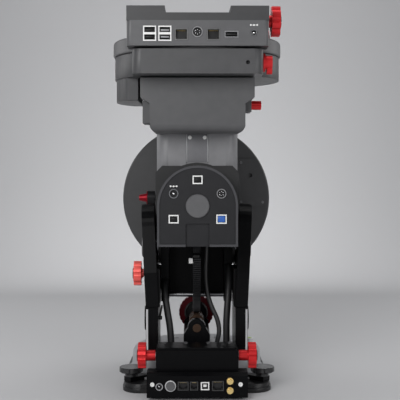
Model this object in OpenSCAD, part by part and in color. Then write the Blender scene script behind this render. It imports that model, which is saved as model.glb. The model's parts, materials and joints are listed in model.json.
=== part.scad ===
// Equatorial mount, polar axis level, head upright. Millimetres.
// X runs to the right, Y from the control box to the back, Z up. The origin is under the azimuth axis.

/* [Base] */
// Thickness of the base plate
plate_t = 12; // [11:0.5:14]
// Radius of the azimuth spindle
spindle_r = 22; // [16:1:30]
// Radius of the azimuth lock knobs
lock_knob_r = 17; // [14:0.5:18]
// Circle of the pier bolts
pier_pcd = 150; // [120:1:160]

/* [Turntable] */
// Radius of the turntable body at its foot
table_r = 98; // [96:0.5:98.5]
// Height of the turntable above the base plate
table_h = 35.7; // [32:0.1:36]
// Outer half width of the fork at its foot
fork_out = 74; // [73:0.5:77]
// Thickness of a fork arm
arm_t = 18.5; // [16:0.5:19]
// Outward lean of the fork arms in degrees
arm_lean = 3; // [2.5:0.1:3.5]
// Width of the azimuth block
block_w = 114; // [106:1:118]
// Width of the control box
box_w = 138; // [134:1:140]
// Height of the control box
box_h = 34; // [31:0.5:34]

/* [Latitude] */
// Height of the latitude axis
lat_z = 195; // [194:0.5:197]
// Place of the latitude axis behind the azimuth axis
lat_y = 20; // [18:0.5:22]
// Tip radius of the toothed sector
sector_r = 99; // [97:0.5:99.5]
// Width of the toothed sector
sector_w = 11; // [8:0.5:14]
// Radius of the trunnions
trunnion_r = 12; // [9:0.5:14]
// Radius of the hand wheel
wheel_r = 27.5; // [22:0.5:28]

/* [Polar axis] */
// Height of the polar axis above the latitude axis
ra_rise = 73; // [72:0.5:75]
// Radius of the polar drum
drum_r = 115; // [111:0.5:118]
// Radius of the polar and declination shafts
shaft_r = 40; // [36:0.5:42]
// Half width of the control panel
panel_r = 52.5; // [51:0.5:54]
// Radius of the counterweight shaft socket
socket_r = 14.05; // [10:0.05:15]
// Radius of the sight bore through the polar axis
sight_r = 13.5; // [10:0.5:13.5]

/* [Declination] */
// Place of the declination axis in front of the azimuth axis
dec_front = 100; // [98:0.5:103]
// Radius of the declination disc
disc_r = 115; // [113:0.5:117]
// Height of the declination disc
disc_h = 20.4; // [18:0.1:22]
// Half width of the declination body at its top
body_r = 74; // [70:0.5:76]

/* [Saddle] */
// Half width of the saddle
saddle_r = 89; // [87:0.5:92]
// Half width of the dovetail slot
slot_r = 41; // [38:0.5:43]
// Depth of the dovetail slot
slot_h = 8.5; // [8:0.1:10]
// Radius of the star knobs
star_r = 19.5; // [16:0.5:20]

/* [Hidden] */
$fn = 64;

// Clearances
run_gap = 0.05;   // running fit of a shaft
seat_gap = 0.3;   // seat between faces that move on each other
panel_gap = 0.2;  // round a socket in its cut-out

// Reach of a cut that passes right through
far = 1000;

// Base
plate_w = 2 * (table_r + 8);
plate_d = 2 * (table_r + 4);
plate_corner = 26;
pier_hole_r = 4.2;
pier_hole_h = plate_t - 3;
spindle_h = 24;
plate_step = 2.5;
lock_front = [table_r - 4, table_r - 22];
lock_rear = [table_r - 26, table_r - 6.5];
lock_places = [
    [-lock_front[0], -lock_front[1]], [lock_front[0], -lock_front[1]],
    [-lock_rear[0], lock_rear[1]], [lock_rear[0], lock_rear[1]]
];
stud_r = 4;
flange_r = table_r + 5;
flange_t = 3;
flange_top = plate_t + seat_gap + flange_t;
shoe_t = 3;
shoe_top = flange_top + seat_gap + shoe_t;
lock_knob_h = 13.5;
lock_neck_r = 9;
lock_neck_h = 5;
shoe_w = 16;
shoe_end = 7;
peg_r = 7;
peg_y = table_r + 13;
lug_w = 24;

// Turntable and fork
table_low = plate_t + seat_gap;
deck_z = table_low + table_h;
fork_in = fork_out - 18;
upright_y = [-62, 40];
upright_top = 114;
cap_disc_r = 18;
arm_front = -62;
arm_back = 6;
arm_top = lat_z + 67;
boss_r = 35;
pad_gap = 0.5;
pad_y = [-52, 3];
pad_top = 170;
block_z = 38;
block_h = 31;
block_front = peg_y + 15;
block_back = peg_y - 27;
box_front = peg_y + 31;
box_back = peg_y + 1;
box_low = block_z - box_h;
screw_r = 5;
screw_z = 56;
az_knob_r = 18;
az_knob_t = 11;
az_hub_r = 7.5;
pocket_w = 30;
screw_gap = 0.3;
screw_travel = 10;
star_seat = block_w / 2 + 1 + screw_travel + 3;
antenna_x = 44.6;
port_z = box_low + box_h / 2 - 0.5;
antenna_z = [port_z - 6, port_z + 7];
button_x = -36.5;
button_z = port_z;
button_r = 6;
lock_arm_y = -32;
lock_arm_z = 161;
lock_arm_x = fork_out + (lock_arm_z - upright_top) * tan(arm_lean);

// Altitude drive
tooth_h = 2.2;
tooth_step = 1.91;
sector_front = 184;
sector_teeth = 82;
worm_r = 11.1;
worm_z = lat_z - sector_r - worm_r - 0.4;
worm_y = [-10, 34];
worm_core_r = 9;
worm_pitch = sector_r * tooth_step * PI / 180;
pin_r = 6;
lug_front = [-60, -46];
lug_rear = [54, 64];
bracket_w = 38;
bracket_top = 72;
wheel_y = [76, 86];

// Polar axis
ra_z = lat_z + ra_rise;
tube_r = 57;
tube_front = -50;
drum_front = 58;
drum_back = 86;
drum_wall = 5;
cover_t = 6;
bearing_r = 50;
cheek_x = [42, 54];
cheek_foot = lat_z - 83;
tie_r = 3.5;
tie_y = lat_y + 24;
tie_z = lat_z - 77;
sector_in = sector_r - 13.5;
web_y = [tie_y + 4, drum_front - 2];
hub_r = 50;
hub_front = -184;
hub_back = -52;
collar_r = 56;
collar_front = -150;
collar_top = 52;
collar_cut = 9;
socket_depth = 33;
hub_low = ra_z - 51;
panel_t = 6;
panel_front = hub_front - panel_t;
rim_t = 3;
rim_h = 1.5;
notch_w = 31;
notch_h = 30;
cap_r = 15.4;
neck_r = 55;
neck_y = [-140, -60];
neck_strip = 15;
ra_lock_y = -142;
ra_lock_rise = 9;

// Declination
dec_y = -dec_front;
body_low = ra_z + 95;
body_step = ra_z + 137;
body_top = ra_z + 166;
body_low_r = body_r - 12;
body_front = -186;
body_back = -20;
front_r = 83;
front_y = dec_y - disc_r - 5;
front_top = ra_z + 199;
cup_r = disc_r - 2;
cup_floor = 8;
cup_wall = 5;
cup_low = body_top + 2;
tier_low = ra_z + 138;
tier_x = 76;
disc_low = front_top + 0.6;
disc_top = disc_low + disc_h;
lever_x = front_r + seat_gap;
lever_z = ra_z + 184;
lever_y = front_y + 24;
thumb_y = -150;
thumb_r = 6;
body_round = 10;
thumb_z = ra_z + 132.4;

// Saddle
saddle_l = 2 * (disc_r + 10);
saddle_front = dec_y - saddle_l / 2;
saddle_back = dec_y + saddle_l / 2;
box_seam = disc_top + 13.5;
floor_z = box_seam + 9.5;
saddle_top = floor_z + slot_h;
saddle_box_low = front_top + 3;
saddle_box_back = saddle_front + 41;
socket_z = saddle_box_low + 15;
cap_back = saddle_front + 18;
jaw_y = [saddle_front + 20, saddle_back - 20];
jaw_pocket = [slot_r + 17, saddle_r - 4.5];
jaw_leg = [slot_r + 17.4, slot_r + 36];
jaw_foot = floor_z - 12;
jaw_gap = 0.3;
undercut = 2.5;
knob_z = floor_z - 5;
knob_ys = [saddle_front + 40, saddle_back - 40];
star_t = 11;
star_hub_t = 6;

// Colours
charcoal = [0.16, 0.16, 0.17];
black = [0.05, 0.05, 0.055];
pale = [0.72, 0.73, 0.75];
red = [0.72, 0.05, 0.08];
steel = [0.7, 0.7, 0.72];
brass = [0.75, 0.55, 0.25];
white = [0.88, 0.88, 0.88];

// Cylinders along X and Y
module cyl_x(r, x0, x1) {
    translate([min(x0, x1), 0, 0]) rotate([0, 90, 0]) cylinder(r = r, h = abs(x1 - x0));
}
module cyl_y(r, y0, y1) {
    translate([0, y0, 0]) rotate([-90, 0, 0]) cylinder(r = r, h = y1 - y0);
}
module box(x, y, z) {
    translate([x[0], y[0], z[0]]) cube([x[1] - x[0], y[1] - y[0], z[1] - z[0]]);
}
// Outline drawn in X and Z, given depth along Y
module along_y(y0, y1) {
    translate([0, y1, 0]) rotate([90, 0, 0]) linear_extrude(y1 - y0) children();
}
// Outline drawn in Y and Z, given depth along X
module along_x(x0, x1) {
    translate([x0, 0, 0]) rotate([90, 0, 90]) linear_extrude(x1 - x0) children();
}
// Rectangle with round corners about the origin
module round_rect(w, d, r) {
    square([w - 2 * r, d], center = true);
    square([w, d - 2 * r], center = true);
    for (x = [-1, 1], y = [-1, 1]) translate([x * (w / 2 - r), y * (d / 2 - r)]) circle(r);
}
// Points of an arc
function arc(c, r, a0, a1, n = 8) =
    [for (i = [0:n]) let (a = a0 + (a1 - a0) * i / n) [c[0] + r * cos(a), c[1] + r * sin(a)]];
// Outline with a half round top and a flat foot
module d_outline(r, low) {
    circle(r);
    translate([-r, low]) square([2 * r, -low]);
}
// Star knob about Z: lobes round a core
module star(r, h) {
    difference() {
        cylinder(r = r, h = h);
        for (i = [0:7]) rotate(i * 45) translate([r + 2.2, 0, -1]) cylinder(r = 5, h = h + 2, $fn = 32);
    }
}
// Socket shell along Y: outer size, mouth size and depth
module socket(x, z, w, h, y0, y1) {
    translate([x, 0, z]) difference() {
        box([-w / 2, w / 2], [y0, y1], [-h / 2, h / 2]);
        box([-w / 2 + 1, w / 2 - 1], [y0 - 1, y1 - 2], [-h / 2 + 1, h / 2 - 1]);
    }
}
module round_socket(x, z, r, y0, y1) {
    translate([x, 0, z]) difference() {
        cyl_y(r, y0, y1);
        cyl_y(r - 1.2, y0 - 1, y1 - 2);
    }
}

// Places of the sockets: x, z, width, height; a round one has no height
control_sockets = [
    [-51.8, port_z - 1, 5, 0], [-19.3, port_z, 14.6, 12], [-4.4, port_z, 11, 12],
    [10.5, port_z, 11.5, 11], [28, port_z, 16, 13.5]
];
panel_sockets = [
    [0, ra_z + 34, 13, 11], [-31, ra_z + 16, 6.2, 0], [31, ra_z + 16, 6.2, 0],
    [-31, ra_z - 17, 13, 11], [31, ra_z - 17, 13.5, 12]
];
saddle_sockets = [
    [-60, socket_z, 16.5, 19], [-41, socket_z, 16.5, 19], [-20.5, socket_z - 1, 16, 14],
    [-0.5, socket_z + 2, 6.6, 0], [19.5, socket_z - 1, 16, 14], [42, socket_z - 1, 17, 8],
    [70, socket_z + 1, 4, 0]
];
module sockets(list, y0, y1, grow = 0) {
    for (s = list) {
        if (s[3] == 0) {
            if (grow > 0) translate([s[0], 0, s[1]]) cyl_y(s[2] + grow, y0, y1);
            else round_socket(s[0], s[1], s[2], y0, y1);
        } else {
            if (grow > 0) translate([s[0], 0, s[1]])
                box([-s[2] / 2 - grow, s[2] / 2 + grow], [y0, y1], [-s[3] / 2 - grow, s[3] / 2 + grow]);
            else socket(s[0], s[1], s[2], s[3], y0, y1);
        }
    }
}

// Base

module base_plate() {
    color(black) difference() {
        union() {
            linear_extrude(plate_t / 2) round_rect(plate_w, plate_d, plate_corner);
            linear_extrude(plate_t)
                round_rect(plate_w - 2 * plate_step, plate_d - 2 * plate_step, plate_corner - plate_step);
            box([-lug_w / 2, lug_w / 2], [-peg_y - 8, -plate_d / 2 + plate_step + 1], [0, plate_t]);
            cylinder(r = spindle_r, h = plate_t + spindle_h);
        }
        for (i = [0:3]) rotate(i * 90) translate([pier_pcd / 2, 0, -1])
            cylinder(r = pier_hole_r, h = pier_hole_h + 1);
        for (p = lock_places) translate([p[0], p[1], 3])
            cylinder(r = stud_r + run_gap, h = plate_t);
    }
}
module azimuth_peg() {
    color(steel) translate([0, -peg_y, plate_t]) cylinder(r = peg_r, h = block_z + block_h - plate_t - 12);
}
// Shoes that the lock knobs press onto the turntable's flange
module clamp_shoes() {
    color(black) for (p = lock_places) translate([p[0], p[1], 0]) rotate(atan2(p[1], p[0])) difference() {
        union() {
            box([table_r + 1 - norm(p), shoe_end], [-shoe_w / 2, shoe_w / 2], [shoe_top - shoe_t, shoe_top]);
            box([flange_r + 1.5 - norm(p), shoe_end], [-shoe_w / 2, shoe_w / 2], [plate_t, shoe_top]);
        }
        cylinder(r = stud_r + 0.4, h = 3 * plate_t);
    }
}
// Mushroom knob on a stud
module lock_knob(place) {
    color(black) translate([place[0], place[1], 0]) {
        translate([0, 0, 4]) cylinder(r = stud_r, h = shoe_top);
        translate([0, 0, shoe_top + seat_gap]) difference() {
            rotate_extrude() polygon([
                [0, 0], [lock_neck_r, 0], [lock_neck_r, lock_neck_h], [lock_knob_r - 3, lock_neck_h],
                [lock_knob_r, lock_neck_h + 2], [lock_knob_r, lock_knob_h - 1], [lock_knob_r - 1, lock_knob_h],
                [0, lock_knob_h]
            ]);
            for (i = [0:7]) rotate(i * 45) translate([lock_knob_r + 2.8, 0, -1])
                cylinder(r = 4, h = lock_knob_h + 2, $fn = 32);
        }
    }
}
module lock_knob_front_left() lock_knob(lock_places[0]);
module lock_knob_front_right() lock_knob(lock_places[1]);
module lock_knob_rear_left() lock_knob(lock_places[2]);
module lock_knob_rear_right() lock_knob(lock_places[3]);

// Turntable

module turntable() {
    bore = spindle_r + run_gap;
    roof = plate_t + spindle_h + 0.4;
    color(pale) difference() {
        rotate_extrude($fn = 128) polygon([
            [bore, table_low], [flange_r, table_low], [flange_r, flange_top], [table_r, flange_top],
            [table_r - 2.5, deck_z - 6], [table_r - 5, deck_z - 2], [table_r - 9, deck_z],
            [0, deck_z], [0, roof], [bore, roof]
        ]);
        for (x = [-31, 31], y = [2, 52]) translate([x, y, deck_z - 4]) linear_extrude(5) round_rect(7, 4, 1.9);
    }
}
module fork_uprights() {
    cut = 4;
    color(black) for (side = [-1, 1]) mirror([side < 0 ? 1 : 0, 0, 0]) {
        translate([0, 0, deck_z]) linear_extrude(upright_top - deck_z) polygon([
            [fork_in, upright_y[0]], [fork_out - cut, upright_y[0]], [fork_out, upright_y[0] + cut],
            [fork_out, upright_y[1] - cut], [fork_out - cut, upright_y[1]], [fork_in, upright_y[1]]
        ]);
        translate([0, -10, 91]) cyl_x(cap_disc_r, fork_out, fork_out + 3.5);
    }
}
// Fork arm: leaning plate, swept forward under its latitude bearing
module leaning_plate() {
    translate([fork_out - arm_t, 0, upright_top]) rotate([0, arm_lean, 0]) translate([0, 0, -upright_top])
        along_x(0, arm_t) union() {
            polygon(concat(
                [[arm_front + 4, upright_top - 10], [arm_back - 4, upright_top - 10], [arm_back, lat_z - 34]],
                [[lat_y + 20, lat_z - 28]],
                arc([lat_y - 2, arm_top - 30], 30, 0, 90),
                arc([arm_front + 50, arm_top - 30], 30, 90, 180),
                [[arm_front + 6, lat_z - 30]]
            ));
            translate([lat_y, lat_z]) circle(boss_r);
        }
}
// Its inner pad closes the gap to the cheek
module fork_arm(side) {
    color(black) mirror([side < 0 ? 1 : 0, 0, 0]) difference() {
        union() {
            leaning_plate();
            box([cheek_x[1] + pad_gap, fork_out - arm_t / 2], pad_y, [upright_top, pad_top]);
        }
        box([0, far], [-far, far], [0, upright_top]);
        translate([0, lat_y, lat_z]) cyl_x(trunnion_r + run_gap, 0, far);
        if (side < 0) translate([0, lock_arm_y, lock_arm_z]) cyl_x(stud_r + run_gap, lock_arm_x - 10, far);
    }
}
module fork_arm_left() fork_arm(-1);
module fork_arm_right() fork_arm(1);
module latitude_lock_knob() {
    color(red) mirror([1, 0, 0]) translate([0, lock_arm_y, lock_arm_z]) {
        cyl_x(stud_r, lock_arm_x - 8, lock_arm_x + 6);
        cyl_x(7, lock_arm_x + 2, lock_arm_x + 6);
        translate([lock_arm_x + 5, 0, 0]) rotate([0, 90, 0]) star(az_knob_r, az_knob_t);
    }
}
module lug_outline(r) {
    translate([0, worm_z]) circle(r);
    polygon([[-r, worm_z], [-bracket_w / 2, bracket_top + 3], [-bracket_w / 2, bracket_top - 1],
        [bracket_w / 2, bracket_top - 1], [bracket_w / 2, bracket_top + 3], [r, worm_z]]);
}
module gear_bracket() {
    color(black) difference() {
        union() {
            box([-bracket_w / 2, bracket_w / 2], [lug_front[0], lug_rear[1]], [deck_z, bracket_top]);
            along_y(lug_front[0], lug_front[1]) lug_outline(13);
            along_y(lug_rear[0], lug_rear[1]) lug_outline(9);
        }
        translate([0, 0, worm_z]) cyl_y(pin_r + run_gap, -far, far);
    }
}
module azimuth_block() {
    color(black) difference() {
        union() {
            box([-block_w / 2, block_w / 2], [-block_front, -block_back], [block_z, block_z + block_h - 3]);
            box([-block_w / 2 + 3, block_w / 2 - 3], [-block_front + 3, -block_back],
                [block_z, block_z + block_h]);
        }
        for (side = [-1, 1]) translate([0, -peg_y, screw_z])
            cyl_x(az_hub_r + 0.5, side * (block_w / 2 - screw_travel), side * block_w);
        cylinder(r = table_r + 0.2, h = deck_z);
        box([-pocket_w, pocket_w], [-peg_y - 9, -peg_y + 9], [0, block_z + block_h - 8]);
        translate([0, -peg_y, screw_z]) cyl_x(screw_r + run_gap, -far, far);
    }
}
module control_box() {
    color(black) difference() {
        along_x(-box_w / 2, box_w / 2) polygon([
            [-box_front, box_low], [-box_back, box_low], [-box_back, block_z], [-box_front + 5, block_z],
            [-box_front, block_z - 4]
        ]);
        box([-lug_w, lug_w], [-peg_y - 12, 0], [-1, 100]);
        sockets(control_sockets, -box_front - 1, -box_front + 8, panel_gap);
        for (z = antenna_z) translate([antenna_x, 0, z]) cyl_y(4, -box_front - 1, -box_front + 8);
        translate([button_x, 0, button_z]) cyl_y(button_r + run_gap, -box_front - 1, -box_front + 10);
    }
}
module control_ports() {
    color(steel) sockets(control_sockets, -box_front - 0.4, -box_front + 8);
}
module antenna_sockets() {
    color(brass) for (z = antenna_z) translate([antenna_x, 0, z]) {
        cyl_y(4, -box_front - 0.4, -box_front + 8);
        cyl_y(4.6, -box_front - 3, -box_front);
        cyl_y(3.2, -box_front - 8, -box_front - 3);
    }
}
module power_button() {
    color(steel) translate([button_x, 0, button_z]) cyl_y(button_r, -box_front - 3, -box_front + 6);
}
module level_vial() {
    color(white) translate([80.5, 22, deck_z]) cylinder(r = 5, h = 6);
}

// Leads: round tubes swept along hand-picked points
lead_left = [[-38, -34, 48], [-38, -34, 62], [-40, -33, 84], [-44, -30, 108], [-47, -22, 128],
    [-48, -11, 140], [-48, 0, 145]];
lead_right = [[44, -34, 48], [44, -34, 62], [44, -34, 90], [46, -31, 120], [48, -23, 146],
    [48, -11, 162], [48, 0, 168]];
lead_cross = [[29, -40, 48], [30, -40, 60], [33, -40, 76], [30, -38, 94], [22, -34, 112], [15, -29, 134],
    [13, -25, 160], [14, -22, 186], [15, -20, 211.8]];
lead_r = 5;
cross_r = 3.4;
lead_sides = 10;
function unit(v) = v / norm(v);
function way(p, i) = i == 0 ? [0, 0, 1] : unit(p[min(i + 1, len(p) - 1)] - p[i - 1]);
function ring(c, d, r) = let (u = unit(cross(d, [0.2, 1, 0.1])), v = cross(d, u))
    [for (k = [0:lead_sides - 1]) let (a = 360 * k / lead_sides) c + r * cos(a) * u + r * sin(a) * v];
module lead(p, r, last) {
    n = len(p);
    points = [for (i = [0:n - 1]) each ring(p[i], i == n - 1 ? last : way(p, i), r)];
    sides = [for (i = [0:n - 2], k = [0:lead_sides - 1]) let (a = i * lead_sides, b = (k + 1) % lead_sides)
        each [[a + k, a + lead_sides + k, a + b], [a + b, a + lead_sides + k, a + lead_sides + b]]];
    foot = [for (k = [1:lead_sides - 2]) [0, k, k + 1]];
    top = [for (k = [1:lead_sides - 2]) let (a = (n - 1) * lead_sides) [a, a + k + 1, a + k]];
    polyhedron(points, concat(sides, foot, top));
}
module left_lead() color(black) translate([0, 0, deck_z - 48]) lead(lead_left, lead_r, [0, 1, 0]);
module right_lead() color(black) translate([0, 0, deck_z - 48]) lead(lead_right, lead_r, [0, 1, 0]);
module cross_lead() color(black) translate([0, 0, deck_z - 48]) lead(lead_cross, cross_r, [0, 0, 1]);

// Azimuth screws and knobs

module azimuth_screw(side) {
    color(steel) translate([0, -peg_y, screw_z])
        cyl_x(screw_r, side * (peg_r + screw_gap), side * (star_seat + 5));
}
module azimuth_screw_left() azimuth_screw(-1);
module azimuth_screw_right() azimuth_screw(1);
// The knob turns on the end of its screw; its hub enters the block as the screw advances
module azimuth_knob(side) {
    color(red) mirror([side < 0 ? 1 : 0, 0, 0]) translate([0, -peg_y, screw_z]) difference() {
        union() {
            cyl_x(az_hub_r, block_w / 2 + 1, star_seat + 1);
            translate([star_seat, 0, 0]) rotate([0, 90, 0]) star(az_knob_r, az_knob_t);
        }
        cyl_x(screw_r + run_gap, 0, star_seat + 5 + seat_gap);
    }
}
module azimuth_knob_left() azimuth_knob(-1);
module azimuth_knob_right() azimuth_knob(1);

// Altitude drive

module worm_shaft() {
    color(brass) translate([0, 0, worm_z]) {
        cyl_y(pin_r, lug_front[0] - 1.5, wheel_y[1] - 2);
        cyl_y(worm_core_r, worm_y[0], worm_y[1]);
        for (y = [worm_y[0]:worm_pitch:worm_y[1] - worm_pitch]) cyl_y(worm_r, y + 1, y + 2.4);
    }
}
module hand_wheel() {
    color(red) translate([0, 0, worm_z]) difference() {
        cyl_y(wheel_r, wheel_y[0], wheel_y[1]);
        cyl_y(pin_r + 0.02, 0, wheel_y[1] - 1.9);
        for (i = [0:23]) rotate([0, i * 15, 0]) translate([wheel_r + 1, 0, 0]) cyl_y(1.8, 0, far, $fn = 16);
    }
}

// Polar axis, fixed side

module at_ra() {
    translate([0, 0, ra_z]) children();
}
module ra_housing() {
    color(black) difference() {
        union() {
            at_ra() cyl_y(tube_r, tube_front, drum_front + 1);
            at_ra() translate([0, drum_front, 0]) rotate([-90, 0, 0]) cylinder(r1 = drum_r - 2, r2 = drum_r, h = 2);
            at_ra() cyl_y(drum_r, drum_front + 2, drum_back);
        }
        at_ra() cyl_y(bearing_r, tube_front - 1, drum_back + 1);
        at_ra() cyl_y(drum_r - drum_wall, drum_front + drum_wall, drum_back + 1);
    }
}
// Cheek and half of the back web on each side of the sector
module latitude_frame() {
    color(black) for (side = [-1, 1]) mirror([side < 0 ? 1 : 0, 0, 0]) difference() {
        union() {
            along_x(cheek_x[0], cheek_x[1]) polygon([
                [0, ra_z - 28], [drum_front, ra_z - 28], [drum_front, lat_z - 36], [tie_y + 8, cheek_foot],
                [tie_y - 30, cheek_foot], [0, lat_z - 60]
            ]);
            box([sector_w / 2 + run_gap, cheek_x[0] + 1], [web_y[0], web_y[1]], [tie_z + 1, ra_z - 28]);
        }
        at_ra() cyl_y(tube_r + run_gap, -far, far);
        translate([0, lat_y, lat_z]) cyl_x(trunnion_r, -far, far);
        translate([0, tie_y, tie_z]) cyl_x(tie_r, -far, far);
    }
}
module ra_rear_cover() {
    color(charcoal) at_ra() difference() {
        union() {
            cyl_y(drum_r, drum_back, drum_back + cover_t - 2);
            translate([0, drum_back + cover_t - 2, 0]) rotate([-90, 0, 0])
                cylinder(r1 = drum_r, r2 = drum_r - 2, h = 2);
        }
        cyl_y(sight_r, 0, far);
    }
}
module ra_worm_cover() {
    color(charcoal) at_ra() difference() {
        intersection() {
            cyl_y(drum_r - 4, drum_front - 5, drum_front);
            box([64, far], [0, far], [-12, 62]);
        }
        translate([84, 0, 36]) cyl_y(3.6, 0, 100);
    }
}
module ra_bearings() {
    color(steel) at_ra() for (y = [tube_front + 3, drum_front - 20]) difference() {
        cyl_y(bearing_r, y, y + 18);
        cyl_y(shaft_r + run_gap, y - 1, y + 19);
    }
}
module trunnions() {
    out = fork_out + (lat_z - upright_top) * tan(arm_lean) + 2;
    color(steel) translate([0, lat_y, lat_z]) for (side = [-1, 1]) cyl_x(trunnion_r, side * cheek_x[0], side * out);
}
// Toothed sector: teeth on an arc about the latitude axis, and the web that carries it
module latitude_sector() {
    last = sector_front + sector_teeth * tooth_step;
    teeth = [for (i = [0:sector_teeth - 1]) let (a = sector_front + i * tooth_step)
        each [[a, 0], [a + tooth_step * 0.25, 1], [a + tooth_step * 0.55, 1], [a + tooth_step * 0.8, 0]]];
    rim = [for (t = teeth) let (r = sector_r - tooth_h * (1 - t[1]))
        [lat_y + r * cos(t[0]), lat_z + r * sin(t[0])]];
    turn = 360 - acos((web_y[1] - lat_y) / sector_in);
    color(steel) difference() {
        along_x(-sector_w / 2, sector_w / 2) polygon(concat(
            rim, arc([lat_y, lat_z], sector_in, last - 0.2 * tooth_step, turn, 24),
            [[web_y[1], ra_z - tube_r + 4], [tube_front + 5, ra_z - tube_r + 4], [tube_front, lat_z - 2]]
        ));
        at_ra() cyl_y(tube_r + run_gap, -far, far);
        translate([0, lat_y - 38, lat_z - 30]) cyl_x(24, -far, far);
        translate([0, lat_y + 14, lat_z - 36]) cyl_x(14, -far, far);
        translate([0, tie_y, tie_z]) cyl_x(tie_r, -far, far);
    }
}
module tie_rod() {
    color(steel) translate([0, tie_y, tie_z]) cyl_x(tie_r, -cheek_x[1], cheek_x[1]);
}

// Polar axis, turning side

module ra_shaft() {
    color(steel) at_ra() difference() {
        cyl_y(shaft_r, hub_back, drum_back - 2);
        cyl_y(sight_r, -far, far);
    }
}
module ra_worm_wheel() {
    wheel = drum_r - drum_wall - 2.5;
    color(brass) at_ra() difference() {
        cyl_y(wheel, drum_front + 8, drum_back - 4);
        cyl_y(shaft_r, 0, far);
    }
}
// Round socket for a counterweight bar, open through the collar's underside
module bar_socket() {
    mouth_z = min(hub_low, ra_z - collar_r) - 1;
    translate([0, dec_y, mouth_z]) cylinder(r = socket_r, h = hub_low + socket_depth - mouth_z);
}
// Squared upper half of the collar, with cut corners
module collar_block() {
    polygon([
        [-collar_r, 0], [collar_r, 0], [collar_r, collar_top - collar_cut], [collar_r - collar_cut, collar_top],
        [-collar_r + collar_cut, collar_top], [-collar_r, collar_top - collar_cut]
    ]);
}
module hub() {
    color(charcoal) difference() {
        union() {
            at_ra() along_y(hub_front, hub_back) d_outline(hub_r, hub_low - ra_z);
            at_ra() cyl_y(collar_r, collar_front, hub_back);
            at_ra() along_y(collar_front, hub_back) collar_block();
        }
        at_ra() cyl_y(sight_r, -far, far);
        bar_socket();
        at_ra() translate([0, ra_lock_y, ra_lock_rise]) cyl_x(stud_r + run_gap, -100, -collar_r + 12);
    }
}
// Polar lock: tip on a collar, screwed into the hub
module ra_lock_knob() {
    color(red) at_ra() translate([0, ra_lock_y, ra_lock_rise]) mirror([1, 0, 0]) {
        cyl_x(stud_r, collar_r - 10, collar_r + 8);
        cyl_x(9.5, collar_r + 1, collar_r + 12);
        translate([collar_r + 12, 0, 0]) rotate([0, 90, 0]) cylinder(r1 = 6, r2 = 4, h = 10);
    }
}
module control_panel() {
    color(charcoal) difference() {
        at_ra() along_y(panel_front, hub_front) d_outline(panel_r, hub_low - ra_z - 2);
        at_ra() along_y(panel_front - 1, panel_front + rim_h)
            d_outline(panel_r - rim_t, hub_low - ra_z - 2 + rim_t);
        sockets(panel_sockets, panel_front - 1, hub_front + 1, panel_gap);
        at_ra() cyl_y(sight_r, -far, 0);
        box([-notch_w / 2, notch_w / 2], [panel_front - 1, panel_front + 4.5],
            [hub_low - 10, hub_low - 2 + notch_h]);
    }
}
module panel_ports() {
    color(steel) sockets(panel_sockets, panel_front + 0.6, hub_front);
}
module sight_cap() {
    color(charcoal) at_ra() {
        translate([0, panel_front - 1.5, 0]) rotate([-90, 0, 0]) cylinder(r1 = cap_r - 1, r2 = cap_r, h = 1);
        cyl_y(cap_r, panel_front - 0.5, panel_front + rim_h);
        cyl_y(sight_r - run_gap, panel_front, hub_front + 12);
    }
}
module neck() {
    color(charcoal) difference() {
        translate([0, (neck_y[0] + neck_y[1]) / 2, ra_z + 45]) linear_extrude(body_low - ra_z - 45)
            round_rect(2 * neck_r, neck_y[1] - neck_y[0], 16);
        at_ra() along_y(-far, far) collar_block();
        at_ra() cyl_y(collar_r, -far, far);
        box([-neck_strip, neck_strip], [-far, neck_y[0] + 2.5], [0, far]);
    }
}

// Declination unit

module dec_body() {
    color(charcoal) difference() {
        union() {
            along_y(body_front, body_back) polygon(concat(
                [[-body_r, body_top], [-body_r, body_step + 4], [-body_low_r, body_step - 4]],
                arc([-body_low_r + body_round, body_low + body_round], body_round, 180, 270),
                arc([body_low_r - body_round, body_low + body_round], body_round, 270, 360),
                [[body_low_r, body_step - 4], [body_r, body_step + 4], [body_r, body_top]]
            ));
            box([-body_low_r - 10, -body_low_r + 1], [-170, -110], [body_step - 29, body_step]);
            box([body_low_r - 1, body_low_r + 9], [-170, -130], [body_step - 14, body_step + 2]);
            // plinth that carries the drum
            translate([0, dec_y, body_top - 1]) cylinder(r = bearing_r + 10, h = cup_low - body_top + 1);
        }
        translate([0, dec_y, body_step]) cylinder(r = bearing_r, h = far);
        translate([0, thumb_y, thumb_z]) cyl_x(stud_r - 1 + run_gap, body_low_r, far);
    }
}
module dec_thumbscrew() {
    seat = body_low_r + 9;
    color(red) translate([0, thumb_y, thumb_z]) {
        cyl_x(stud_r - 1, seat - 7, seat + 5);
        difference() {
            cyl_x(thumb_r, seat + seat_gap, seat + 14);
            for (i = [0:7]) rotate([i * 45, 0, 0]) translate([0, thumb_r + 1.1, 0]) cyl_x(2, 0, far, $fn = 16);
        }
    }
}
module dec_front_cover() {
    color(charcoal) difference() {
        translate([0, (front_y + dec_y) / 2, body_top]) linear_extrude(front_top - body_top)
            round_rect(2 * front_r, dec_y - front_y, 12);
        translate([0, dec_y, 0]) cylinder(r = cup_r + 0.05, h = far);
        translate([63, 0, front_top - 17]) cyl_y(2.6, front_y - 1, front_y + 6);
        translate([0, lever_y, lever_z]) cyl_x(stud_r + run_gap, front_r - 6, far);
        box([-far, far], [-far, far], [body_top - 10, cup_low]);
    }
}
module gear_lever() {
    color(red) translate([0, lever_y, lever_z]) {
        cyl_x(stud_r, front_r - 5, lever_x + 3);
        cyl_x(12, lever_x, lever_x + 3);
        cyl_x(9, lever_x + 2.5, lever_x + 12);
        along_x(lever_x + 5, lever_x + 12) union() {
            translate([-5, -10]) square([10, 10]);
            translate([0, -10]) circle(5);
        }
    }
}
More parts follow.
